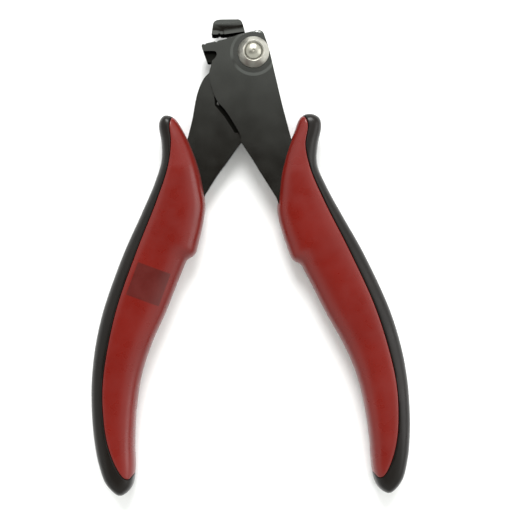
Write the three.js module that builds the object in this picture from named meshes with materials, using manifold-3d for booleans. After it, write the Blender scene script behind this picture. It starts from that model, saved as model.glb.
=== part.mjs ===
// Lap-joint crimping pliers: two stamped plates turning on a riveted pivot,
// a hairpin return spring between them, and two-part moulded grips on the tangs.
// Millimetres, +Z up. The origin is on the pivot axis at the height on which the
// tool rests. +Y points towards the jaws, and the jaws open to the -X side.
import * as THREE from 'three';
import * as BufferGeometryUtils from 'three/addons/utils/BufferGeometryUtils.js';
import Module from 'manifold-3d';

const wasm = await Module();
wasm.setup();

// ---------------------------------------------------------------- dimensions

// Heights of the layers, from the rest surface up.
const GRIP_THICKNESS = 11;
const MIDDLE = GRIP_THICKNESS / 2;
const PLATE_THICKNESS = 2.6;
const PLATE_CLEARANCE = 0.1;
const REAR_FACE = MIDDLE - PLATE_CLEARANCE / 2;
const REAR_BACK = REAR_FACE - PLATE_THICKNESS;
const FRONT_BACK = MIDDLE + PLATE_CLEARANCE / 2;
const FRONT_FACE = FRONT_BACK + PLATE_THICKNESS;

// Jaws. The biting line belongs to the closed tool. The lower jaw meets it
// after the front plate has turned by CLOSING_ANGLE.
const CLOSING_ANGLE = THREE.MathUtils.degToRad(11);
const BITE_MIDDLE = new THREE.Vector2(-10.1, 5.8);
const BITE_SLOPE = THREE.MathUtils.degToRad(-1.5);
const BITE_GAP = 0.1;
const UPPER_JAW_TIP_X = -11.8;
const LOWER_JAW_TIP_X = -13.7;
const BITE_INNER_X = -8.1;
const JAW_BACK_Y = 9.95;
const NOTCH_RADIUS = 0.35;
const CRIMP_NOTCH_X = -9.6;
const TIP_NOTCH_X = -13.0;
const TIP_NOTCH_RADIUS = 0.3;
const JAW_CHAMFER = { width: 1.2, depth: 0.8 };
const BITE_BEVEL = { width: 1.2, depth: 0.5 };
// The milled ramp down from the upper jaw's face, beside the bite.
const JAW_UNDERCUT = { width: 1.5, depth: 0.62 };
const UNDERCUT_START = new THREE.Vector2(BITE_INNER_X, 5.75);
const UNDERCUT_END = new THREE.Vector2(-1.6, 6.32);
const JAW_POCKET_DEPTH = 1.9;

// Lap joint: the rear plate's disc turns inside the lower jaw's hollow heel.
const LAP_RADIUS = 9.0;
const HEEL_RADIUS = 9.3;

// Pivot stack.
const RIVET_RADIUS = 2.0;
const RIVET_HEAD_RADIUS = 2.3;
const RIVET_TOP = 11.45;
const RUNNING_CLEARANCE = 0.05;
const BUSH_RADIUS = 3.0;
const BOSS_RADIUS = 6.7;
const BOSS_HEIGHT = 0.35;
const BOSS_SLOPE_WIDTH = 0.8;
const COLLAR_RADIUS = 4.5;
const COLLAR_RIM_RADIUS = 2.95;
const COLLAR_EDGE = 0.4;
const COLLAR_HEIGHT = 2.45;
const COLLAR_RIM_CHAMFER = 0.2;
const COUNTERSINK_DEPTH = 1.0;
const COUNTERSINK_TAPER = 0.3;

// Return spring and its pockets.
const WIRE_RADIUS = 0.5;
const SPRING_BEND = { x: -5.5, y: -6.6, radius: 2.2 };
const SPRING_LEFT_END = new THREE.Vector2(-11.0, -14.2);
const SPRING_RIGHT_END = new THREE.Vector2(-0.5, -17.0);
const POCKET_DEPTH = 0.6;
const SPRING_CLEARANCE = 0.4;

// Grips. Both grips are one shape, mirrored about a line along the tool. The
// opened tool carries the right one lower.
const GRIP_LINE_X = -5.6;
const RIGHT_GRIP_DROP = 2.8;
const GRIP_ROUNDING = 1.6;
// The two grips' tips differ a little in width and in height.
const GRIP_TIPS = { left: { wider: -0.3, lower: 1.3 }, right: { wider: 1.2, lower: 0 } };
const SEAM_GAP = 0.3;
const TANG_CLEARANCE = 0.25;
// How far cutters run past what they cut, and how far joined solids run into each other.
const BELOW = -1;
const ABOVE = GRIP_THICKNESS + 4;
const PAST = 1;
const JOIN = 0.5;

const NOTCH_STEPS = 16;
const ROUND_STEPS = 48;
const CURVE_STEPS = 5;
const OUTLINE_STEPS = 84;

// ------------------------------------------------------------------- helpers

const v2 = (x, y) => new THREE.Vector2(x, y);

function toSolid(geometry) {
  const bare = geometry.index ? geometry.toNonIndexed() : geometry.clone();
  bare.deleteAttribute('normal');
  bare.deleteAttribute('uv');
  const merged = BufferGeometryUtils.mergeVertices(bare, 1e-5);
  return new wasm.Manifold(new wasm.Mesh({
    numProp: 3,
    vertProperties: new Float32Array(merged.attributes.position.array),
    triVerts: new Uint32Array(merged.index.array),
  }));
}

function toGeometry(solid) {
  const mesh = solid.getMesh();
  const geometry = new THREE.BufferGeometry();
  geometry.setAttribute('position', new THREE.BufferAttribute(mesh.vertProperties, 3));
  geometry.setIndex(new THREE.BufferAttribute(mesh.triVerts, 1));
  geometry.computeVertexNormals();
  return geometry;
}

// A flat outline carried straight up from one height to another.
function slab(shape, bottom, top) {
  const options = { depth: top - bottom, bevelEnabled: false, curveSegments: CURVE_STEPS };
  return new THREE.ExtrudeGeometry(shape, options).translate(0, 0, bottom);
}

// The same slab, swollen all round by a clearance.
function swollenSlab(shape, bottom, top, clearance) {
  const options = {
    depth: top - bottom,
    curveSegments: CURVE_STEPS,
    bevelSize: clearance,
    bevelThickness: clearance,
    bevelSegments: 1,
  };
  return new THREE.ExtrudeGeometry(shape, options).translate(0, 0, bottom);
}

function disc(radius, bottom, top, x = 0, y = 0, steps = ROUND_STEPS) {
  const geometry = new THREE.CylinderGeometry(radius, radius, top - bottom, steps);
  return geometry.rotateX(Math.PI / 2).translate(x, y, (top + bottom) / 2);
}

// A turned piece: the profile is a list of radius and height pairs.
function turned(profile) {
  const points = profile.map(([radius, height]) => v2(radius, height));
  return new THREE.LatheGeometry(points, ROUND_STEPS).rotateX(Math.PI / 2);
}

// A long wedge that cuts a sloping edge on an upward face. The edge runs from one
// point to another with the material on its left. The slope starts the given width
// inside the edge, and it is the given depth below the face at the edge itself.
function edgeCutter(from, to, faceZ, width, depth) {
  const over = 0.5;
  const section = new THREE.Shape([
    v2(-width, 0),
    v2(over, -depth * (1 + over / width)),
    v2(over, over),
    v2(-width, over),
  ]);
  const run = to.clone().sub(from);
  const wedge = new THREE.ExtrudeGeometry(section, { depth: run.length(), bevelEnabled: false });
  const along = new THREE.Vector3(run.x, run.y, 0).normalize();
  const outward = new THREE.Vector3(along.y, -along.x, 0);
  const axes = new THREE.Matrix4().makeBasis(outward, new THREE.Vector3(0, 0, 1), along.negate());
  return wedge.applyMatrix4(axes).translate(to.x, to.y, faceZ);
}

// ------------------------------------------------------------------ outlines

const bitePoint = (x, drop = 0) =>
  v2(x, BITE_MIDDLE.y + (x - BITE_MIDDLE.x) * Math.tan(BITE_SLOPE) - drop);

// A point of the front plate in the closed tool, carried back to the open tool.
const opened = (point) => point.clone().rotateAround(v2(0, 0), CLOSING_ANGLE);

// A point given by its distance out from the grips' middle line.
function gripPoint(side, outward, along) {
  const drop = side > 0 ? RIGHT_GRIP_DROP : 0;
  return v2(GRIP_LINE_X + side * outward, along - drop);
}

const gripPoints = (side, pairs) => pairs.map(([out, along]) => gripPoint(side, out, along));

// The tang's two long edges and its round end, hidden in the grip.
function addTang(shape, side) {
  shape.splineThru(gripPoints(side, [[18.5, -34], [23.5, -48], [29.5, -62], [35.5, -78], [39, -94]]));
  shape.splineThru(gripPoints(side, [[39.6, -103], [38, -105], [36.2, -103.5]]));
  shape.splineThru(gripPoints(side, [[34.2, -94], [29, -80], [21.5, -64], [15.5, -52], [11.5, -43.5]]));
}

function rearOutline() {
  const shape = new THREE.Shape();
  const jawTip = bitePoint(UPPER_JAW_TIP_X);
  shape.moveTo(jawTip.x, jawTip.y);
  const inner = bitePoint(BITE_INNER_X);
  shape.lineTo(inner.x, inner.y);
  // The lap disc, down to the shoulder that stops the opening.
  const start = THREE.MathUtils.degToRad(140);
  const end = THREE.MathUtils.degToRad(196);
  shape.absarc(0, 0, LAP_RADIUS, start, end, false);
  shape.lineTo(-8.7, -2.7);
  shape.lineTo(-11.8, -2.7);
  shape.lineTo(-13.0, -4.6);
  shape.splineThru([v2(-15.0, -6.7), v2(-17.0, -11.2), v2(-18.6, -18), v2(-20.1, -23)]);
  addTang(shape, -1);
  shape.lineTo(-16.0, -40.0);
  shape.splineThru([v2(-12.3, -34.7), v2(-8.6, -30.1), v2(-4.6, -25.0)]);
  // The edge hidden under the front plate, up to the back of the jaw.
  shape.splineThru([
    v2(-3.6, -20.5), v2(-2.4, -15.6), v2(0.2, -10.5), v2(3.2, -5), v2(4.0, 0), v2(3.1, 3.8)]);
  shape.lineTo(1.6, 5.6);
  shape.lineTo(-2.2, 6.3);
  addUpperJawBack(shape);
  return shape;
}

// The upper jaw's back, from its root on the right round to its tip.
function addUpperJawBack(shape) {
  shape.lineTo(-2.7, 8.3);
  shape.quadraticCurveTo(-3.1, 9.85, -4.1, 9.95);
  shape.lineTo(-8.9, 10.15);
  shape.quadraticCurveTo(-10.9, 10.15, -11.2, 8.9);
  shape.lineTo(-11.6, 6.8);
  shape.lineTo(UPPER_JAW_TIP_X, bitePoint(UPPER_JAW_TIP_X).y);
}

function upperJawOutline() {
  const shape = new THREE.Shape();
  const jawTip = bitePoint(UPPER_JAW_TIP_X);
  shape.moveTo(jawTip.x, jawTip.y);
  const inner = bitePoint(BITE_INNER_X);
  shape.lineTo(inner.x, inner.y);
  shape.lineTo(-2.2, 6.3);
  addUpperJawBack(shape);
  return shape;
}

// The lower jaw from its heel round the tip to the inner end of its bite.
function addLowerJaw(shape) {
  const tip = opened(bitePoint(LOWER_JAW_TIP_X, BITE_GAP));
  const inner = opened(bitePoint(BITE_INNER_X, BITE_GAP));
  shape.lineTo(-12.2, -1.9);
  shape.lineTo(-13.5, -1.75);
  shape.lineTo(-14.85, 2.55);
  shape.lineTo(tip.x, tip.y);
  shape.lineTo(inner.x, inner.y);
}

function frontOutline() {
  const shape = new THREE.Shape();
  shape.moveTo(-4.9, -25.2);
  shape.splineThru([v2(-5.1, -23), v2(-8.4, -16.9), v2(-11.3, -12.9), v2(-12.7, -8.3), v2(-13.1, -5.6)]);
  shape.lineTo(-12.2, -2.4);
  addLowerJaw(shape);
  shape.splineThru([v2(-6.0, 4.7), v2(-4.2, 5.3), v2(-2.1, 5.7)]);
  shape.lineTo(1.0, 6.3);
  shape.lineTo(2.0, 6.35);
  shape.quadraticCurveTo(3.0, 6.2, 3.3, 5.0);
  shape.splineThru([v2(4.6, 0.3), v2(6.2, -8.2), v2(7.5, -15.1), v2(9.6, -25)]);
  addTang(shape, 1);
  shape.lineTo(4.7, -42.0);
  shape.splineThru([v2(1.0, -35.5), v2(-1.6, -30.8), v2(-4.9, -25.2)]);
  return shape;
}

function lowerJawOutline() {
  const shape = new THREE.Shape();
  shape.moveTo(-6.0, -2.4);
  shape.lineTo(-11.8, -2.4);
  addLowerJaw(shape);
  return shape;
}

// The dark milled step at the lower jaw's outer corner.
function jawPocketOutline() {
  const shape = new THREE.Shape();
  shape.moveTo(-16, 1.1);
  shape.lineTo(-11.5, 1.0);
  shape.quadraticCurveTo(-10.5, 0.9, -10.6, -0.1);
  shape.quadraticCurveTo(-10.8, -1.0, -11.9, -1.7);
  shape.lineTo(-12.6, -4);
  shape.lineTo(-16, -4);
  return shape;
}

function springPocketOutline() {
  const shape = new THREE.Shape();
  const { x, y, radius } = SPRING_BEND;
  const room = radius + WIRE_RADIUS + SPRING_CLEARANCE;
  shape.absarc(x, y, room, 0, Math.PI, false);
  shape.lineTo(-11.9, -11.8);
  shape.lineTo(-11.9, -14.2);
  shape.lineTo(-9.3, -17.6);
  shape.lineTo(-6.5, -22.4);
  shape.lineTo(-2.6, -22.8);
  shape.lineTo(0.6, -18.0);
  shape.lineTo(0.6, -15.0);
  return shape;
}

function gripOutline(side) {
  const { wider, lower } = GRIP_TIPS[side < 0 ? 'left' : 'right'];
  const outer = [[19.4, -15.5 - lower], [21.2 + wider / 2, -15.4 - lower], [22.6 + wider, -16.7 - lower],
    [23.0 + wider, -19.2 - lower / 2], [22.3 + wider / 2, -24.5], [22.5, -30], [24.8, -36.3], [29.2, -45.3],
    [34, -54.7], [38.1, -64], [41.7, -73.5], [44.1, -82.8], [45.5, -92], [45.9, -101], [45.5, -110],
    [44.4, -117], [42.4, -122.4], [38.7, -125.6]];
  const inner = [[35.5, -123.6], [34.3, -119], [34, -110.5], [33, -100.5], [31, -91], [27.6, -82],
    [23.2, -73.3], [19, -64.2], [16.4, -58.6], [13.6, -55.6], [11.7, -50], [10.4, -43.5],
    [10.9, -38], [12, -31.8], [14.4, -24.5], [16.5, -19.9], [17.9, -16.7 - lower * 0.8]];
  const points = gripPoints(side, outer.concat(inner));
  const curve = new THREE.CatmullRomCurve3(points.map((p) => new THREE.Vector3(p.x, p.y, 0)), true);
  const rounded = curve.getPoints(OUTLINE_STEPS).slice(0, -1);
  return new THREE.Shape(rounded.map((p) => v2(p.x, p.y)));
}

// The space inside the seam between the two grip materials, moved by an offset.
function insideSeam(side, offset) {
  const { wider, lower } = GRIP_TIPS[side < 0 ? 'left' : 'right'];
  const seam = [[16.4, -15.2 - lower], [19.0 + wider / 2, -17.2 - lower],
    [19.6 + wider / 2, -19.3 - lower / 2], [19.2, -24.5], [20.3, -31.5], [23.9, -41],
    [30.4, -55.5], [37.3, -73], [41.6, -91.5], [42.1, -101], [41.2, -110], [39, -116.8],
    [36.9, -120], [34.6, -121.3], [30, -121.5]];
  const moved = seam.map(([out, along]) => [out + offset, along]);
  const shape = new THREE.Shape();
  const start = gripPoint(side, 2, -12);
  shape.moveTo(start.x, start.y);
  const first = gripPoint(side, ...moved[0]);
  shape.lineTo(first.x, first.y);
  shape.splineThru(gripPoints(side, moved.slice(1)));
  const last = gripPoint(side, 2, -121.5);
  shape.lineTo(last.x, last.y);
  return shape;
}

// -------------------------------------------------------------------- pieces

function pivotHole() {
  const hole = BUSH_RADIUS + RUNNING_CLEARANCE;
  return toSolid(disc(hole, BELOW, ABOVE));
}

// A groove through the jaw's thickness, cut across the biting face.
function notch(x, radius, place) {
  const at = place(bitePoint(x, BITE_GAP / 2));
  return toSolid(disc(radius, BELOW, ABOVE, at.x, at.y, NOTCH_STEPS));
}

function springPocket(bottom, top) {
  return toSolid(slab(springPocketOutline(), bottom, top));
}

function rearPlate() {
  const still = (point) => point;
  const jawEdges = [
    [v2(0, JAW_BACK_Y), v2(-14, JAW_BACK_Y), JAW_CHAMFER],
    [bitePoint(-14), bitePoint(BITE_INNER_X - 0.4), BITE_BEVEL],
    [UNDERCUT_START, UNDERCUT_END, JAW_UNDERCUT],
  ];
  let jaw = toSolid(slab(upperJawOutline(), REAR_FACE - JOIN, FRONT_FACE));
  for (const [from, to, { width, depth }] of jawEdges) {
    jaw = jaw.subtract(toSolid(edgeCutter(from, to, FRONT_FACE, width, depth)));
  }
  const blank = toSolid(slab(rearOutline(), REAR_BACK, REAR_FACE));
  return toGeometry(blank.add(jaw)
    .subtract(pivotHole())
    .subtract(notch(CRIMP_NOTCH_X, NOTCH_RADIUS, still))
    .subtract(springPocket(REAR_FACE - POCKET_DEPTH, REAR_FACE + PAST)));
}

function frontPlate() {
  const outline = frontOutline();
  const bossProfile = [[0, FRONT_FACE - JOIN], [BOSS_RADIUS, FRONT_FACE - JOIN], [BOSS_RADIUS, FRONT_FACE],
    [BOSS_RADIUS - BOSS_SLOPE_WIDTH, FRONT_FACE + BOSS_HEIGHT], [0, FRONT_FACE + BOSS_HEIGHT]];
  const boss = toSolid(turned(bossProfile))
    .intersect(toSolid(slab(outline, FRONT_BACK, FRONT_FACE + PAST)));
  const blank = toSolid(slab(outline, FRONT_BACK, FRONT_FACE));
  const jaw = toSolid(slab(lowerJawOutline(), REAR_BACK, FRONT_BACK + JOIN))
    .subtract(toSolid(disc(HEEL_RADIUS, BELOW, FRONT_BACK)));
  const pocketFloor = FRONT_FACE - JAW_POCKET_DEPTH;
  return toGeometry(blank.add(jaw).add(boss)
    .subtract(toSolid(slab(jawPocketOutline(), pocketFloor, FRONT_FACE + PAST)))
    .subtract(pivotHole())
    .subtract(notch(CRIMP_NOTCH_X, NOTCH_RADIUS, opened))
    .subtract(notch(TIP_NOTCH_X, TIP_NOTCH_RADIUS, opened))
    .subtract(springPocket(FRONT_BACK - PAST, FRONT_BACK + POCKET_DEPTH)));
}

function pivotRivet() {
  const flare = RIVET_HEAD_RADIUS - RIVET_RADIUS;
  return turned([
    [0, 0],
    [RIVET_HEAD_RADIUS - 0.25, 0],
    [RIVET_HEAD_RADIUS, 0.25],
    [RIVET_HEAD_RADIUS, 0.8],
    [RIVET_RADIUS, 0.8 + flare],
    [RIVET_RADIUS, RIVET_TOP - 1.1 - flare],
    [RIVET_HEAD_RADIUS, RIVET_TOP - 1.1],
    [RIVET_HEAD_RADIUS, RIVET_TOP - 0.7],
    [1.85, RIVET_TOP - 0.32],
    [1.1, RIVET_TOP - 0.06],
    [0.5, RIVET_TOP],
    [0.3, RIVET_TOP - 0.2],
    [0, RIVET_TOP - 0.25],
  ]);
}

function pivotBush() {
  const bore = RIVET_RADIUS + RUNNING_CLEARANCE;
  const top = FRONT_FACE + BOSS_HEIGHT;
  return turned([
    [bore, REAR_BACK],
    [BUSH_RADIUS, REAR_BACK],
    [BUSH_RADIUS, top],
    [bore, top],
    [bore, REAR_BACK],
  ]);
}

// A conical collar standing on a plate, its rim facing away from the plate.
function collar(base, direction) {
  const bore = RIVET_RADIUS + RUNNING_CLEARANCE;
  const sink = RIVET_HEAD_RADIUS + RUNNING_CLEARANCE;
  const height = (rise) => base + direction * rise;
  const profile = [
    [bore, height(0)],
    [COLLAR_RADIUS, height(0)],
    [COLLAR_RADIUS, height(COLLAR_EDGE)],
    [COLLAR_RIM_RADIUS, height(COLLAR_HEIGHT - COLLAR_RIM_CHAMFER)],
    [COLLAR_RIM_RADIUS - COLLAR_RIM_CHAMFER, height(COLLAR_HEIGHT)],
    [sink, height(COLLAR_HEIGHT)],
    [sink, height(COLLAR_HEIGHT - COUNTERSINK_DEPTH)],
    [bore, height(COLLAR_HEIGHT - COUNTERSINK_DEPTH - COUNTERSINK_TAPER)],
    [bore, height(0)],
  ];
  return turned(direction > 0 ? profile : profile.reverse());
}

// The hairpin: two straight legs that leave the bend along its tangents.
function returnSpring() {
  const { x, y, radius } = SPRING_BEND;
  const bend = v2(x, y);
  const tangentAngle = (end, sign) => {
    const reach = end.clone().sub(bend);
    return reach.angle() + sign * Math.acos(radius / reach.length());
  };
  const from = tangentAngle(SPRING_LEFT_END, -1);
  const to = tangentAngle(SPRING_RIGHT_END, 1) - 2 * Math.PI;
  const bendSteps = 12;
  const points = [SPRING_LEFT_END.clone()];
  for (let i = 0; i <= bendSteps; i += 1) {
    const angle = from + (to - from) * (i / bendSteps);
    points.push(v2(x + radius * Math.cos(angle), y + radius * Math.sin(angle)));
  }
  points.push(SPRING_RIGHT_END.clone());
  const path = new THREE.CurvePath();
  for (let i = 1; i < points.length; i += 1) {
    const a = new THREE.Vector3(points[i - 1].x, points[i - 1].y, MIDDLE);
    const b = new THREE.Vector3(points[i].x, points[i].y, MIDDLE);
    path.add(new THREE.LineCurve3(a, b));
  }
  const section = new THREE.Shape();
  section.absarc(0, 0, WIRE_RADIUS, 0, 2 * Math.PI, false);
  const smooth = new THREE.CatmullRomCurve3(path.getSpacedPoints(24), false, 'centripetal');
  return new THREE.ExtrudeGeometry(section, {
    extrudePath: smooth, steps: 36, curveSegments: 8, bevelEnabled: false,
  });
}

function gripBody(side) {
  return toSolid(new THREE.ExtrudeGeometry(gripOutline(side), {
    depth: GRIP_THICKNESS - 2 * GRIP_ROUNDING,
    bevelSize: GRIP_ROUNDING,
    bevelOffset: -GRIP_ROUNDING,
    bevelThickness: GRIP_ROUNDING,
    bevelSegments: 3,
  }).translate(0, 0, GRIP_ROUNDING));
}

function gripSleeve(side) {
  const [outline, bottom, top] = side < 0
    ? [rearOutline(), REAR_BACK, REAR_FACE]
    : [frontOutline(), FRONT_BACK, FRONT_FACE];
  const inside = toSolid(slab(insideSeam(side, -SEAM_GAP / 2), BELOW, ABOVE));
  const socket = toSolid(swollenSlab(outline, bottom, top, TANG_CLEARANCE));
  return toGeometry(gripBody(side).intersect(inside).subtract(socket));
}

function gripOvermould(side) {
  const inside = toSolid(slab(insideSeam(side, SEAM_GAP / 2), BELOW, ABOVE));
  return toGeometry(gripBody(side).subtract(inside));
}

// ------------------------------------------------------------------ assembly

const finishes = {
  blackenedSteel: { color: 0x44463f, roughness: 0.55, metalness: 0.8 },
  barePivot: { color: 0xb0ae9f, roughness: 0.3, metalness: 1 },
  springSteel: { color: 0x8a8a86, roughness: 0.35, metalness: 1 },
  redPlastic: { color: 0x86302a, roughness: 0.6, metalness: 0 },
  blackRubber: { color: 0x322d2a, roughness: 0.75, metalness: 0 },
};

const pieces = [
  ['rear_plate', rearPlate(), 'blackenedSteel'],
  ['front_plate', frontPlate(), 'blackenedSteel'],
  ['pivot_rivet', pivotRivet(), 'barePivot'],
  ['pivot_bush', pivotBush(), 'barePivot'],
  ['front_collar', collar(FRONT_FACE + BOSS_HEIGHT, 1), 'barePivot'],
  ['rear_collar', collar(REAR_BACK, -1), 'barePivot'],
  ['return_spring', returnSpring(), 'springSteel'],
  ['left_grip_sleeve', gripSleeve(-1), 'redPlastic'],
  ['right_grip_sleeve', gripSleeve(1), 'redPlastic'],
  ['left_grip_overmould', gripOvermould(-1), 'blackRubber'],
  ['right_grip_overmould', gripOvermould(1), 'blackRubber'],
];

const pliers = new THREE.Group();
for (const [name, geometry, finish] of pieces) {
  const mesh = new THREE.Mesh(geometry, new THREE.MeshStandardMaterial(finishes[finish]));
  mesh.name = name;
  pliers.add(mesh);
}

export default pliers;
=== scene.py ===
"""Crimping pliers in a plain white studio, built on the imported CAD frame.

The plates are the CAD solids with dressed edges. The grips, the pivot stack and the
return spring are finer meshes that stand for their CAD nodes. Shapes are worked out in
millimetres and turned into metres when a mesh is made.
"""

import math

import bmesh
import bpy
import numpy as np
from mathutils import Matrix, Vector


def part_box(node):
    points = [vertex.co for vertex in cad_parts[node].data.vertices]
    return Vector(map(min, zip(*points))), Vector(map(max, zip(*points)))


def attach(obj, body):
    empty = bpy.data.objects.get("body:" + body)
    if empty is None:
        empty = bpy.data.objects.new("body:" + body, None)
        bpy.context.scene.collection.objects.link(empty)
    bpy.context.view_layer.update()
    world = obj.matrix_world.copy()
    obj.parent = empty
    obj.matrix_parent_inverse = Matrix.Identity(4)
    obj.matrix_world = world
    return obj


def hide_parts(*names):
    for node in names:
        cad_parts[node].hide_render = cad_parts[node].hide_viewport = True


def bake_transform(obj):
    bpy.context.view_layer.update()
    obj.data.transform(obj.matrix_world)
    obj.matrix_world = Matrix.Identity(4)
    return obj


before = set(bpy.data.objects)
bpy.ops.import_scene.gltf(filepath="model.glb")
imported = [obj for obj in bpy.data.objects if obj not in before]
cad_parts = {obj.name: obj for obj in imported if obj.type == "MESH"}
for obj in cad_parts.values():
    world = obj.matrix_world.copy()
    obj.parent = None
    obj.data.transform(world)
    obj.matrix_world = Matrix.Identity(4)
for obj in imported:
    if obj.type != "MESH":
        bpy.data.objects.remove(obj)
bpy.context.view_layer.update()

# ---------------------------------------------------------------- dimensions

MM = 0.001


def node_box(name):
    """A CAD node's lowest and highest corner, in millimetres."""
    low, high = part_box(name)
    return np.array(low) / MM, np.array(high) / MM


grip_low, grip_high = node_box("left_grip_overmould")
MIDDLE_Z = (grip_low[2] + grip_high[2]) / 2
HALF_GRIP = (grip_high[2] - grip_low[2]) / 2

# Both grips are one shape, mirrored about a line along the tool. A point is given by its
# distance out from that line and its place along the tool. The right one sits lower.
GRIP_LINE_X = -5.6
RIGHT_GRIP_DROP = 2.8
# The two tips differ a little in width and in height.
GRIP_TIPS = {"left": (-0.3, 1.3), "right": (1.2, 0.0)}
SEAM_GAP = 0.12
SEAM_LIP = 0.3
CROWN_POWER = 2.7
RIB_COUNT = 150

# The plain square patch on the left grip's front face.
PATCH_MIDDLE = (-33.0, -65.0, MIDDLE_Z)
PATCH_HALF = 5.0
PATCH_TURN = math.radians(23)
PATCH_SHADES = [(0.062, 0.0036, 0.0022), (0.08, 0.0048, 0.003)]

# Edges of the steel plates.
EDGE_WIDTH = 0.13
EDGE_STEPS = 2
HARD_ANGLE = math.radians(28)
RIDGE_ANGLE = math.radians(10)

# Which material slot of a plate each kind of face uses. The plate's own look is slot 0.
EDGE_SLOT = 1
# Slot 2 is a near-black steel that paints shade on the recess floors.
RECESS_SHADE_SLOT = 2

# Pieces turned on the lathe.
TURNED_STEPS = 128

# The floors of the jaw's milled step and of the spring's pocket, above the rest plane. Their upward
# faces get painted shade.
RECESS_FLOORS = (MIDDLE_Z + 0.75, MIDDLE_Z - 0.65)


# -------------------------------------------------------------- plane curves

def spline(points, steps=10, closed=False):
    """A centripetal Catmull-Rom curve through the points."""
    given = np.array(points, float)
    if closed:
        given = np.vstack([given[-1:], given, given[:2]])
    else:
        given = np.vstack([2 * given[0] - given[1], given, 2 * given[-1] - given[-2]])
    made = []
    for p0, p1, p2, p3 in zip(given, given[1:], given[2:], given[3:]):
        t0 = 0.0
        t1 = t0 + np.linalg.norm(p1 - p0) ** 0.5
        t2 = t1 + np.linalg.norm(p2 - p1) ** 0.5
        t3 = t2 + np.linalg.norm(p3 - p2) ** 0.5
        for t in np.linspace(t1, t2, steps, endpoint=False):
            a1 = (t1 - t) / (t1 - t0) * p0 + (t - t0) / (t1 - t0) * p1
            a2 = (t2 - t) / (t2 - t1) * p1 + (t - t1) / (t2 - t1) * p2
            a3 = (t3 - t) / (t3 - t2) * p2 + (t - t2) / (t3 - t2) * p3
            b1 = (t2 - t) / (t2 - t0) * a1 + (t - t0) / (t2 - t0) * a2
            b2 = (t3 - t) / (t3 - t1) * a2 + (t - t1) / (t3 - t1) * a3
            made.append((t2 - t) / (t2 - t1) * b1 + (t - t1) / (t2 - t1) * b2)
    if not closed:
        made.append(given[-2])
    return np.array(made)


def resampled(line, count):
    """The same open line with its points at equal distances."""
    lengths = np.concatenate([[0], np.cumsum(np.linalg.norm(np.diff(line, axis=0), axis=1))])
    places = np.linspace(0, lengths[-1], count)
    return np.column_stack([np.interp(places, lengths, line[:, k]) for k in range(line.shape[1])])


def distance_to(points, line):
    """Each point's distance to a polyline."""
    start, run = line[:-1], np.diff(line, axis=0)
    share = np.einsum("ijk,jk->ij", points[:, None] - start, run) / np.maximum((run ** 2).sum(1), 1e-12)
    nearest = start + np.clip(share, 0, 1)[..., None] * run
    return np.linalg.norm(points[:, None] - nearest, axis=2).min(axis=1)


def moved_sideways(line, offset):
    """The line moved to its left by an offset."""
    run = np.gradient(line, axis=0)
    run /= np.linalg.norm(run, axis=1)[:, None]
    return line + offset * np.column_stack([-run[:, 1], run[:, 0]])


def rounded(corners, radius, steps=4):
    """A closed outline with each corner replaced by a small curve."""
    made = []
    for before, corner, after in zip([corners[-1]] + corners[:-1], corners, corners[1:] + corners[:1]):
        before, corner, after = (np.array(p, float) for p in (before, corner, after))
        reach_in = min(radius, np.linalg.norm(before - corner) * 0.45)
        reach_out = min(radius, np.linalg.norm(after - corner) * 0.45)
        start = corner + (before - corner) / np.linalg.norm(before - corner) * reach_in
        end = corner + (after - corner) / np.linalg.norm(after - corner) * reach_out
        for t in np.linspace(0, 1, steps + 1):
            made.append((1 - t) ** 2 * start + 2 * t * (1 - t) * corner + t ** 2 * end)
    return np.array(made)


# ----------------------------------------------------------------- materials

def add_node(tree, kind, sockets, **properties):
    """A shader node. A socket takes either a value or another node's output."""
    made = tree.nodes.new(kind)
    for name, value in properties.items():
        setattr(made, name, value)
    for name, value in sockets.items():
        if isinstance(value, bpy.types.NodeSocket):
            tree.links.new(value, made.inputs[name])
        else:
            made.inputs[name].default_value = value
    return made


def noise(tree, where, size_mm, detail=4.0, roughness=0.55):
    """Noise whose largest features are about the size given."""
    sockets = {"Vector": where, "Scale": 1 / (size_mm * MM), "Detail": detail, "Roughness": roughness}
    return add_node(tree, "ShaderNodeTexNoise", sockets).outputs["Fac"]


def stretched(tree, along, across, angle):
    """Object coordinates squeezed so that noise runs in lines at an angle in the XY plane."""
    where = add_node(tree, "ShaderNodeTexCoord", {}).outputs["Object"]
    turned = add_node(tree, "ShaderNodeMapping", {"Vector": where, "Rotation": (0, 0, -angle)})
    scale = (1 / across, 1 / along, 1 / across)
    return add_node(tree, "ShaderNodeMapping", {"Vector": turned.outputs[0], "Scale": scale}).outputs[0]


def ramp(tree, fac, stops):
    """A colour ramp with the given places and colours."""
    made = add_node(tree, "ShaderNodeValToRGB", {"Fac": fac})
    elements = made.color_ramp.elements
    while len(elements) < len(stops):
        elements.new(0.5)
    for element, (place, colour) in zip(elements, stops):
        element.position = place
        element.color = (*colour, 1)
    return made.outputs["Color"]


def spread(tree, fac, low, high, start=0.3, end=0.7):
    """A number that goes from low to high as the factor goes from start to end."""
    sockets = {"Value": fac, "From Min": start, "From Max": end, "To Min": low, "To Max": high}
    return add_node(tree, "ShaderNodeMapRange", sockets).outputs[0]


def bump(tree, height, depth_mm, normal=None):
    sockets = {"Height": height, "Strength": 1.0, "Distance": depth_mm * MM}
    if normal is not None:
        sockets["Normal"] = normal
    return add_node(tree, "ShaderNodeBump", sockets).outputs[0]


def new_material(name):
    made = bpy.data.materials.new(name)
    made.use_nodes = True
    tree = made.node_tree
    return made, tree, tree.nodes["Principled BSDF"]


def fill(tree, shader, sockets):
    for name, value in sockets.items():
        if isinstance(value, bpy.types.NodeSocket):
            tree.links.new(value, shader.inputs[name])
        else:
            shader.inputs[name].default_value = value


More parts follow.
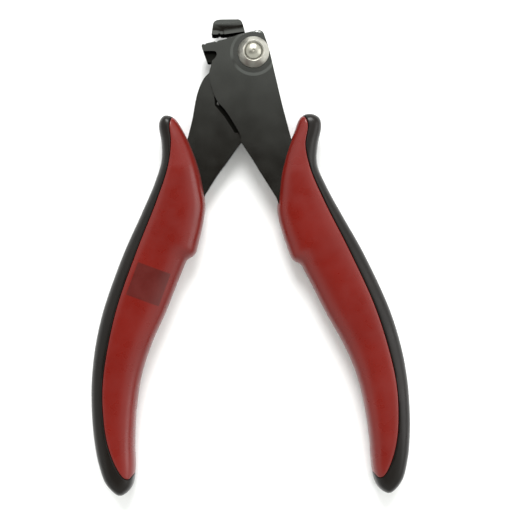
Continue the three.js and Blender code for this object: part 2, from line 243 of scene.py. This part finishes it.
def blackened_steel(name, grain_angle, tint, roughness):
    """Chemically blackened plate with a ground grain, cloudy patches and fine handling scratches."""
    made, tree, shader = new_material(name)
    where = add_node(tree, "ShaderNodeTexCoord", {}).outputs["Object"]
    clouds = noise(tree, where, 7.0, 5.0)
    grain = noise(tree, stretched(tree, 14.0, 1.0, grain_angle), 0.16, 3.0)
    speckle = noise(tree, where, 0.35, 3.0, 0.7)
    low, high = (tuple(c * k for c in tint) for k in (0.93, 1.07))
    colour = ramp(tree, clouds, [(0.3, low), (0.72, high)])
    grain_bump = bump(tree, grain, 0.0012)
    fill(tree, shader, {
        "Base Color": colour,
        "Specular Tint": (0.12, 0.12, 0.12, 1),
        "Metallic": 1.0,
        "Roughness": spread(tree, clouds, roughness - 0.02, roughness + 0.03),
        "Normal": bump(tree, speckle, 0.0008, grain_bump),
    })
    return made


def worn_edge(name):
    """The rubbed edge of a blackened plate, with bare metal showing in places."""
    made, tree, shader = new_material(name)
    where = add_node(tree, "ShaderNodeTexCoord", {}).outputs["Object"]
    patches = noise(tree, where, 1.8, 6.0, 0.65)
    fill(tree, shader, {
        "Base Color": ramp(tree, patches, [(0.35, (0.10, 0.10, 0.095)), (0.7, (0.24, 0.24, 0.225))]),
        "Specular Tint": (0.25, 0.25, 0.25, 1),
        "Metallic": 0.95,
        "Roughness": spread(tree, patches, 0.42, 0.3),
        "Normal": bump(tree, noise(tree, where, 0.3), 0.004),
    })
    return made


def turned_steel(name, tint, roughness, ring_mm):
    """Bright steel off the lathe, with rings round the pivot axis."""
    made, tree, shader = new_material(name)
    where = add_node(tree, "ShaderNodeTexCoord", {}).outputs["Object"]
    rings = add_node(
        tree,
        "ShaderNodeTexWave",
        {"Vector": where, "Scale": 1 / (ring_mm * MM) / 3, "Distortion": 1.2, "Detail": 2.0},
        wave_type="RINGS",
        rings_direction="Z",
    ).outputs["Fac"]
    blotches = noise(tree, where, 1.6, 5.0)
    low, high = (tuple(c * k for c in tint) for k in (0.82, 1.12))
    fill(tree, shader, {
        "Base Color": ramp(tree, blotches, [(0.3, low), (0.7, high)]),
        "Metallic": 1.0,
        "Roughness": spread(tree, blotches, roughness - 0.05, roughness + 0.08),
        "Normal": bump(tree, rings, 0.004, bump(tree, noise(tree, where, 0.2), 0.0015)),
    })
    return made


def drawn_wire(name):
    """Spring wire with faint lines along it."""
    made, tree, shader = new_material(name)
    where = add_node(tree, "ShaderNodeTexCoord", {}).outputs["Object"]
    lines = noise(tree, stretched(tree, 10.0, 1.0, 0.0), 0.12, 3.0)
    stain = noise(tree, where, 2.5, 4.0)
    fill(tree, shader, {
        "Base Color": ramp(tree, stain, [(0.3, (0.14, 0.14, 0.135)), (0.7, (0.3, 0.3, 0.29))]),
        "Metallic": 1.0,
        "Roughness": spread(tree, lines, 0.28, 0.4),
        "Normal": bump(tree, lines, 0.005),
    })
    return made


def patch_mask(tree, where):
    """One inside the square matt patch on the left grip's front face, zero elsewhere."""
    middle = tuple(c * MM for c in PATCH_MIDDLE)
    moved = add_node(tree, "ShaderNodeVectorMath", {0: where, 1: middle}, operation="SUBTRACT")
    sockets = {"Vector": moved.outputs[0], "Rotation": (0, 0, PATCH_TURN)}
    turned = add_node(tree, "ShaderNodeMapping", sockets)
    apart = add_node(tree, "ShaderNodeSeparateXYZ", {"Vector": turned.outputs[0]})
    sides = [add_node(tree, "ShaderNodeMath", {0: apart.outputs[axis]}, operation="ABSOLUTE").outputs[0]
             for axis in "XY"]
    reach = add_node(tree, "ShaderNodeMath", {0: sides[0], 1: sides[1]}, operation="MAXIMUM").outputs[0]
    square = spread(tree, reach, 1, 0, (PATCH_HALF - 0.15) * MM, PATCH_HALF * MM)
    front = spread(tree, apart.outputs["Z"], 0, 1, 0, 1 * MM)
    return add_node(tree, "ShaderNodeMath", {0: square, 1: front}, operation="MULTIPLY").outputs[0]


def moulded(name, shades, roughness, texture_mm, texture_depth, gloss, patched=False):
    """Moulded plastic or rubber: spark-eroded skin, faint flow clouds, and polished rub marks."""
    made, tree, shader = new_material(name)
    where = add_node(tree, "ShaderNodeTexCoord", {}).outputs["Object"]
    clouds = noise(tree, where, 18.0, 4.0, 0.5)
    skin = noise(tree, where, texture_mm, 2.0, 0.6)
    rubs = noise(tree, where, 5.0, 3.0, 0.5)
    undulation = noise(tree, where, 9.0, 2.0)
    colour = ramp(tree, clouds, [(0.3, shades[0]), (0.7, shades[1])])
    sheen = spread(tree, rubs, roughness - 0.06, roughness + 0.06)
    if patched:
        mask = patch_mask(tree, where)
        mixed = add_node(tree, "ShaderNodeMix", {}, data_type="RGBA")
        tree.links.new(mask, mixed.inputs["Factor"])
        tree.links.new(colour, mixed.inputs[6])
        patch = ramp(tree, rubs, [(0.3, PATCH_SHADES[0]), (0.7, PATCH_SHADES[1])])
        tree.links.new(patch, mixed.inputs[7])
        colour = mixed.outputs[2]
        matter = spread(tree, mask, 0, 0.05, 0, 1)
        sheen = add_node(tree, "ShaderNodeMath", {0: sheen, 1: matter}, operation="ADD").outputs[0]
    fill(tree, shader, {
        "Base Color": colour,
        "Roughness": sheen,
        "Specular IOR Level": gloss,
        "Normal": bump(tree, skin, texture_depth, bump(tree, undulation, 0.03)),
    })
    return made


STEEL_TINT = (0.105, 0.108, 0.102)
# A near-black steel tint that paints shade on the recess floors and in the gap between the plates.
RECESS_SHADE_TINT = (0.016, 0.016, 0.014)
rear_steel = blackened_steel("blackened_steel_rear", math.radians(-12), STEEL_TINT, 0.17)
front_steel = blackened_steel("blackened_steel_front", math.radians(14), STEEL_TINT, 0.17)
recess_shade_steel = blackened_steel("painted_shade_recess_steel", 0, RECESS_SHADE_TINT, 0.3)
edge_steel = worn_edge("blackened_steel_edge")
collar_steel = turned_steel("turned_collar", (0.43, 0.42, 0.375), 0.38, 0.16)
rivet_steel = turned_steel("turned_rivet", (0.40, 0.39, 0.335), 0.36, 0.12)
spring_steel = drawn_wire("drawn_spring_wire")
red_shades = [(0.118, 0.0048, 0.0024), (0.138, 0.0062, 0.0032)]
black_shades = [(0.004, 0.003, 0.0022), (0.0065, 0.0045, 0.0034)]
left_red = moulded("moulded_red_left", red_shades, 0.3, 0.22, 0.0015, 0.38, patched=True)
right_red = moulded("moulded_red_right", red_shades, 0.3, 0.22, 0.0015, 0.38)
black_rubber = moulded("moulded_black", black_shades, 0.32, 0.3, 0.002, 0.22)


# -------------------------------------------------------------------- meshes

def new_piece(name, verts_mm, faces, material, sharp_deg=35):
    """A closed mesh with faces turned outwards and edges sharp above an angle."""
    data = bpy.data.meshes.new(name)
    mesh = bmesh.new()
    made = [mesh.verts.new(Vector(v) * MM) for v in verts_mm]
    for face in faces:
        mesh.faces.new([made[i] for i in face])
    bmesh.ops.remove_doubles(mesh, verts=mesh.verts, dist=0.002 * MM)
    bmesh.ops.dissolve_degenerate(mesh, edges=mesh.edges, dist=0.001 * MM)
    bmesh.ops.recalc_face_normals(mesh, faces=mesh.faces)
    mesh.to_mesh(data)
    mesh.free()
    data.materials.append(material)
    finish_shading(data, sharp_deg)
    piece = bpy.data.objects.new(name, data)
    bpy.context.scene.collection.objects.link(piece)
    return piece


def finish_shading(data, sharp_deg):
    data.shade_smooth()
    data.set_sharp_from_angle(angle=math.radians(sharp_deg))


def place(piece, body, slot, *nodes):
    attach(piece, body)
    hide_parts(*nodes)
    return piece


def welded(mesh):
    """Joins the CAD mesh's loose triangles and takes away the edges between flush ones."""
    bmesh.ops.remove_doubles(mesh, verts=mesh.verts, dist=0.001 * MM)
    flat = math.radians(0.5)
    bmesh.ops.dissolve_limit(mesh, angle_limit=flat, verts=mesh.verts, edges=mesh.edges)


# -------------------------------------------------------------------- plates

def keep_ridges(data):
    """Keeps the shallow ridges crisp where two upward faces of a plate meet."""
    faces_at = {}
    for face in data.polygons:
        if face.material_index != EDGE_SLOT and face.normal.z > 0.5:
            for key in face.edge_keys:
                faces_at.setdefault(key, []).append(face.normal)
    for edge in data.edges:
        normals = faces_at.get(edge.key, [])
        if len(normals) == 2 and normals[0].angle(normals[1]) > RIDGE_ANGLE:
            edge.use_edge_sharp = True


def paint_recess_shade(mesh):
    """Paints shade on the milled recess floors, on the side facing up, by giving them the near-black
    recess material.
    """
    for face in mesh.faces:
        height = face.calc_center_median().z / MM
        at_floor = any(abs(height - floor_z) < 0.05 for floor_z in RECESS_FLOORS)
        if face.normal.z > 0.99 and at_floor:
            face.material_index = RECESS_SHADE_SLOT


def dressed_plate(node_name, piece_name, body, material):
    """The CAD plate with every hard edge broken by a narrow worn bevel."""
    data = bpy.data.meshes.new(piece_name)
    mesh = bmesh.new()
    mesh.from_mesh(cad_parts[node_name].data)
    welded(mesh)
    hard = [e for e in mesh.edges if e.is_manifold and e.calc_face_angle(0) > HARD_ANGLE]
    bmesh.ops.bevel(
        mesh,
        geom=hard,
        offset=EDGE_WIDTH * MM,
        offset_type="OFFSET",
        segments=EDGE_STEPS,
        profile=0.5,
        affect="EDGES",
        clamp_overlap=True,
        material=EDGE_SLOT,
    )
    bmesh.ops.recalc_face_normals(mesh, faces=mesh.faces)
    paint_recess_shade(mesh)
    mesh.to_mesh(data)
    mesh.free()
    for look in (material, edge_steel, recess_shade_steel):
        data.materials.append(look)
    finish_shading(data, 40)
    keep_ridges(data)
    plate = bpy.data.objects.new(piece_name, data)
    bpy.context.scene.collection.objects.link(plate)
    weighted = plate.modifiers.new("even_normals", "WEIGHTED_NORMAL")
    weighted.keep_sharp = True
    return place(plate, body, "blackened_steel", node_name)


# --------------------------------------------------------------------- pivot

def turned_piece(name, profile, material):
    """A closed outline of radius and height pairs, turned round the pivot axis."""
    count = len(profile)
    verts = []
    for k in range(TURNED_STEPS):
        angle = 2 * math.pi * k / TURNED_STEPS
        verts += [(r * math.cos(angle), r * math.sin(angle), z) for r, z in profile]
    faces = []
    for k in range(TURNED_STEPS):
        a, b = k * count, (k + 1) % TURNED_STEPS * count
        for i in range(count):
            j = (i + 1) % count
            faces.append((a + i, a + j, b + j, b + i))
    return new_piece(name, verts, faces, material)


def collar_profile(node_name, upward):
    """A cone with a narrow foot, a flat rim, and a dished mouth for the rivet's head."""
    low, high = node_box(node_name)
    foot, radius = (low[2], high[0]) if upward else (high[2], high[0])
    rise = (high[2] - low[2]) * (1 if upward else -1)
    corners = [
        (2.05, foot),
        (radius, foot),
        (radius, foot + 0.16 * rise),
        (3.08, foot + 0.94 * rise),
        (3.0, foot + rise),
        (2.9, foot + rise),
        (2.36, foot + 0.82 * rise),
        (2.36, foot + 0.6 * rise),
        (2.05, foot + 0.5 * rise),
    ]
    return rounded(corners, 0.09)


def rivet_profile():
    """A shank with a domed, centre-marked head at the front and a flat one behind."""
    low, high = node_box("pivot_rivet")
    top = high[2]
    dome = [(1.95, top - 0.52), (1.6, top - 0.3), (1.15, top - 0.12), (0.75, top - 0.03), (0.42, top)]
    back = [(2.3, low[2] + 0.3), (2.05, low[2] + 0.04), (1.7, low[2])]
    outline = [(0, low[2] + 0.12), (0.35, low[2] + 0.1), (0.6, low[2])] + back[::-1]
    outline += [(2.3, low[2] + 0.8), (2.0, low[2] + 1.1)]
    outline += [(2.0, top - 1.4), (2.28, top - 1.1), (2.28, top - 0.8)]
    outline += dome + [(0.3, top - 0.16), (0, top - 0.2)]
    return outline


# -------------------------------------------------------------------- spring

WIRE_RADIUS = 0.5
SPRING_BEND = np.array([-5.5, -6.6])
BEND_RADIUS = 2.2
SPRING_LEFT_END = np.array([-11.0, -14.2])
SPRING_RIGHT_END = np.array([-0.5, -17.0])


def hairpin():
    """The wire's middle line: a leg, the bend that both legs touch, and the other leg."""
    def tangent_angle(end, sign):
        reach = end - SPRING_BEND
        return math.atan2(reach[1], reach[0]) + sign * math.acos(BEND_RADIUS / np.linalg.norm(reach))

    start = tangent_angle(SPRING_LEFT_END, -1)
    end = tangent_angle(SPRING_RIGHT_END, 1)
    start, end = start % (2 * math.pi), end % (2 * math.pi)
    angles = np.linspace(start, end - 2 * math.pi if end > start else end, 40)
    arc = SPRING_BEND + BEND_RADIUS * np.column_stack([np.cos(angles), np.sin(angles)])
    left = np.linspace(SPRING_LEFT_END, arc[0], 24, endpoint=False)
    right = np.linspace(arc[-1], SPRING_RIGHT_END, 25)[1:]
    return np.vstack([left, arc, right])


def return_spring():
    line = hairpin()
    run = np.gradient(line, axis=0)
    run /= np.linalg.norm(run, axis=1)[:, None]
    side = np.column_stack([-run[:, 1], run[:, 0]])
    steps = 20
    verts, faces = [], []
    # The wire's cut ends are slightly chamfered: the first and last ring are narrower.
    radii = np.full(len(line), WIRE_RADIUS)
    radii[[0, -1]] = WIRE_RADIUS * 0.72
    line = line.copy()
    line[1] = line[0] + run[0] * 0.15
    line[-2] = line[-1] - run[-1] * 0.15
    for point, across, radius in zip(line, side, radii):
        for k in range(steps):
            angle = 2 * math.pi * k / steps
            place_xy = point + across * radius * math.cos(angle)
            verts.append((*place_xy, MIDDLE_Z + radius * math.sin(angle)))
    for ring in range(len(line) - 1):
        for k in range(steps):
            a, b = ring * steps + k, ring * steps + (k + 1) % steps
            faces.append((a, b, b + steps, a + steps))
    faces.append(tuple(range(steps)))
    faces.append(tuple(range(len(verts) - steps, len(verts))))
    spring = new_piece("return_spring_wire", verts, faces, spring_steel)
    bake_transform(spring)
    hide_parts("return_spring")


# --------------------------------------------------------------------- grips

def grip_outline(side):
    """The grip's silhouette, from the top tip down the outside and up the inside."""
    wider, lower = GRIP_TIPS[side]
    outer = [(19.4, -15.5 - lower), (21.2 + wider / 2, -15.4 - lower), (22.6 + wider, -16.7 - lower),
             (23.0 + wider, -19.2 - lower / 2), (22.3 + wider / 2, -24.5), (22.5, -30), (24.8, -36.3),
             (29.2, -45.3), (34, -54.7), (38.1, -64), (41.7, -73.5), (44.1, -82.8), (45.5, -92),
             (45.88, -101), (45.48, -110), (44.38, -117), (42.4, -122.4), (38.7, -125.6)]
    inner = [(35.5, -123.6), (34.3, -119), (34, -110.5), (33, -100.5), (31, -91), (27.6, -82),
             (23.2, -73.3), (19.2, -64.4), (17.1, -59.9), (16.6, -58.9), (15.9, -58.3), (14.6, -57.6),
             (13.9, -56.9), (12.9, -54.0), (11.7, -50), (10.4, -43.5), (10.9, -38), (12, -31.8),
             (14.4, -24.5), (16.5, -19.9), (17.9, -16.7 - lower * 0.8)]
    return spline(outer + inner, 12, closed=True)


def seam_line(side):
    """Where the two grip materials meet, from the top tip to the foot."""
    wider, lower = GRIP_TIPS[side]
    points = [(18.7 + wider / 3, -15.9 - lower), (19.3 + wider / 2, -17.4 - lower),
              (19.6 + wider / 2, -19.3 - lower / 2), (19.2, -24.5), (20.3, -31.5), (23.9, -41),
              (30.4, -55.5), (37.3, -73), (41.6, -91.5), (42.1, -101), (41.2, -110), (39, -116.8),
              (36.9, -120), (35.6, -120.4), (34.4, -119.3)]
    return spline(points, 12)


def half_widths(outline):
    """The grip's half width at each place along it, as places and widths."""
    places = np.linspace(outline[:, 1].max() - 3, outline[:, 1].min() + 3, 60)
    widths = []
    for place_along in places:
        across = np.linspace(outline[:, 0].min(), outline[:, 0].max(), 90)
        row = np.column_stack([across, np.full_like(across, place_along)])
        inside = is_inside(row, outline)
        widths.append(distance_to(row[inside], outline).max())
    widths = np.convolve(np.pad(widths, 3, mode="edge"), np.ones(7) / 7, mode="valid")
    return places[::-1], widths[::-1]


def is_inside(points, outline):
    """Whether each point is inside the closed outline, by counting crossings."""
    a, b = outline, np.roll(outline, -1, axis=0)
    x, y = points[:, :1], points[:, 1:]
    spans = (a[:, 1] > y) != (b[:, 1] > y)
    rise = np.where(b[:, 1] == a[:, 1], 1e-9, b[:, 1] - a[:, 1])
    crossing = a[:, 0] + (y - a[:, 1]) / rise * (b[:, 0] - a[:, 0])
    return (spans & (x < crossing)).sum(1) % 2 == 1


def crown(points, outline, widths):
    """How far the grip's face stands above its middle plane at each point."""
    share = np.clip(distance_to(points, outline) / np.interp(points[:, 1], *widths), 0, 1)
    thinning = np.interp(points[:, 1], [-32, -17], [1, 0.8])
    return HALF_GRIP * thinning * (1 - (1 - share) ** CROWN_POWER) ** (1 / CROWN_POWER)


def between(outline, first, last):
    """The stretch of a closed outline from the point nearest first round to the one nearest last."""
    start = np.linalg.norm(outline - first, axis=1).argmin()
    end = np.linalg.norm(outline - last, axis=1).argmin()
    if end < start:
        end += len(outline)
    return outline[np.arange(start, end + 1) % len(outline)]


def grip_shell(name, side, seam, rim, outline, widths, material):
    """A closed shell between the seam and the silhouette, its faces following the crown."""
    seam, rim = resampled(seam, RIB_COUNT), resampled(rim, RIB_COUNT)
    closed = np.vstack([outline, outline[:1]])
    columns = 20
    lip = SEAM_LIP * np.array([0, 0.08, 0.35, 1.0])
    verts = []
    for start, end in zip(seam, rim):
        length = np.linalg.norm(end - start)
        bounded = lip * min(1, 0.3 * length / SEAM_LIP)
        rest = 1 - (1 - np.linspace(0, 1, columns)[1:]) ** 2.2
        reach = np.concatenate([bounded, bounded[-1] + (length - bounded[-1]) * rest])
        share = reach / max(length, 1e-9)
        points = start + share[:, None] * (end - start)
        height = crown(points, closed, widths)
        height[-1] = 0
        into_lip = np.clip(1 - reach / max(bounded[-1], 1e-9), 0, 1)
        drop = bounded[-1] * (1 - np.sqrt(1 - into_lip ** 2))
        height = np.maximum(height - drop, 0)
        ring = list(zip(points, height)) + list(zip(points, -height))[-2::-1]
        verts += [(*grip_to_frame(side, p), MIDDLE_Z + h) for p, h in ring]
    count = len(verts) // RIB_COUNT
    faces = []
    for rib in range(RIB_COUNT - 1):
        for k in range(count):
            a, b = rib * count + k, rib * count + (k + 1) % count
            faces.append((a, b, b + count, a + count))
    return new_piece(name, verts, faces, material, 50)


def grip_to_frame(side, point):
    out, along = point
    if side == "left":
        return GRIP_LINE_X - out, along
    return GRIP_LINE_X + out, along - RIGHT_GRIP_DROP


def grip(side, body):
    outline = grip_outline(side)
    widths = half_widths(outline)
    seam = seam_line(side)
    first = outline[np.linalg.norm(outline - seam[0], axis=1).argmin()]
    last = outline[np.linalg.norm(outline - seam[-1], axis=1).argmin()]
    seam[0], seam[-1] = first, last
    outside = between(outline, first, last)
    inside = between(outline, last, first)[::-1]
    red = left_red if side == "left" else right_red
    black_edge = moved_sideways(seam, SEAM_GAP / 2)
    red_edge = moved_sideways(seam, -SEAM_GAP / 2)
    shells = [("grip_overmould", black_edge, outside, black_rubber, "black_rubber"),
              ("grip_sleeve", red_edge, inside, red, "red_plastic")]
    for kind, edge, rim, material, slot in shells:
        shell = grip_shell(f"{side}_{kind}_shell", side, edge, rim, outline, widths, material)
        place(shell, body, slot, f"{side}_{kind}")


# -------------------------------------------------------------------- studio

CAMERA_PLACE = (-2.29, -58.12, 275.5)
CAMERA_ROLL = math.radians(-2.683)
CAMERA_FIELD = math.radians(30.63)
# Where the tent's opening is, as slopes from straight overhead, and how far it reaches.
OPENING_MIDDLE = (-0.35, -0.04)
OPENING_REACH = (0.62, 0.25)
OPENING_COLOUR = (0.06, 0.042, 0.03)
TENT_COLOUR = (0.98, 1.0, 0.97)
HORIZON_COLOUR = (0.72, 0.73, 0.72)
TENT_STRENGTH = 1.2


def floor():
    """A plain white sweep, far larger than the tool, a hair below it."""
    mesh = bmesh.new()
    bmesh.ops.create_grid(mesh, x_segments=4, y_segments=4, size=3.0)
    data = bpy.data.meshes.new("floor")
    mesh.to_mesh(data)
    mesh.free()
    made, tree, shader = new_material("white_paper")
    where = add_node(tree, "ShaderNodeTexCoord", {}).outputs["Object"]
    fibres = noise(tree, where, 2.0)
    fill(tree, shader, {
        "Base Color": ramp(tree, fibres, [(0.3, (0.88, 0.88, 0.88)), (0.7, (0.9, 0.9, 0.9))]),
        "Roughness": 0.9,
        "Specular IOR Level": 0.2,
    })
    data.materials.append(made)
    sheet = bpy.data.objects.new("floor", data)
    sheet.location.z = -0.05 * MM
    bpy.context.scene.collection.objects.link(sheet)


def soft_sun(name, tilt_deg, turn_deg, spread_deg, strength):
    """A wide soft light from far away, tilted from overhead towards a compass angle from +X."""
    data = bpy.data.lights.new(name, "SUN")
    data.angle = math.radians(spread_deg)
    data.energy = strength
    lamp = bpy.data.objects.new(name, data)
    tilt, turn = math.radians(tilt_deg), math.radians(turn_deg)
    towards = Vector((math.sin(tilt) * math.cos(turn), math.sin(tilt) * math.sin(turn), math.cos(tilt)))
    lamp.rotation_euler = towards.to_track_quat("Z", "Y").to_euler()
    bpy.context.scene.collection.objects.link(lamp)


def studio_world():
    """A white light tent with a dim warm opening overhead, where the camera looks in."""
    world = bpy.data.worlds.new("light_tent")
    world.use_nodes = True
    tree = world.node_tree
    where = add_node(tree, "ShaderNodeTexCoord", {}).outputs["Generated"]
    height = add_node(tree, "ShaderNodeSeparateXYZ", {"Vector": where}).outputs["Z"]
    above = add_node(tree, "ShaderNodeMath", {0: height, 1: 0.02}, operation="MAXIMUM").outputs[0]
    flat = add_node(tree, "ShaderNodeVectorMath", {0: where, 1: above}, operation="DIVIDE").outputs[0]
    middle = (*OPENING_MIDDLE, 1)
    shifted = add_node(tree, "ShaderNodeVectorMath", {0: flat, 1: middle}, operation="SUBTRACT")
    size = (1 / OPENING_REACH[0], 1 / OPENING_REACH[1], 1)
    sockets = {0: shifted.outputs[0], 1: size}
    scaled = add_node(tree, "ShaderNodeVectorMath", sockets, operation="MULTIPLY").outputs[0]
    reach = add_node(tree, "ShaderNodeVectorMath", {0: scaled}, operation="LENGTH").outputs["Value"]
    share = spread(tree, reach, 0, 1, 0.85, 1.4)
    tent = ramp(tree, height, [(0, HORIZON_COLOUR), (0.4, TENT_COLOUR)])
    mixed = add_node(tree, "ShaderNodeMix", {}, data_type="RGBA")
    tree.links.new(share, mixed.inputs["Factor"])
    mixed.inputs[6].default_value = (*OPENING_COLOUR, 1)
    tree.links.new(tent, mixed.inputs[7])
    background = tree.nodes["Background"]
    tree.links.new(mixed.outputs[2], background.inputs["Color"])
    background.inputs["Strength"].default_value = TENT_STRENGTH
    bpy.context.scene.world = world


def camera():
    data = bpy.data.cameras.new("camera")
    data.angle = CAMERA_FIELD
    data.clip_start, data.clip_end = 0.01, 20
    made = bpy.data.objects.new("camera", data)
    made.location = Vector(CAMERA_PLACE) * MM
    made.rotation_euler = (0, 0, CAMERA_ROLL)
    bpy.context.scene.collection.objects.link(made)
    bpy.context.scene.camera = made


# ------------------------------------------------------------------ assembly

dressed_plate("rear_plate", "rear_plate_dressed", "rear_half", rear_steel)
dressed_plate("front_plate", "front_plate_dressed", "front_half", front_steel)
place(turned_piece("front_collar_turned", collar_profile("front_collar", True), collar_steel),
      "rear_half", "bare_steel", "front_collar")
place(turned_piece("rear_collar_turned", collar_profile("rear_collar", False), collar_steel),
      "rear_half", "bare_steel", "rear_collar")
place(turned_piece("pivot_rivet_turned", rivet_profile(), rivet_steel),
      "rear_half", "bare_steel", "pivot_rivet")
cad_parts["pivot_bush"].material_slots[0].material = collar_steel
return_spring()
grip("left", "rear_half")
grip("right", "front_half")

floor()
studio_world()
soft_sun("key_light", 50, 90, 30, 3.6)
soft_sun("side_light", 62, 0, 40, 0.9)
camera()
bpy.context.scene.view_settings.view_transform = "Standard"
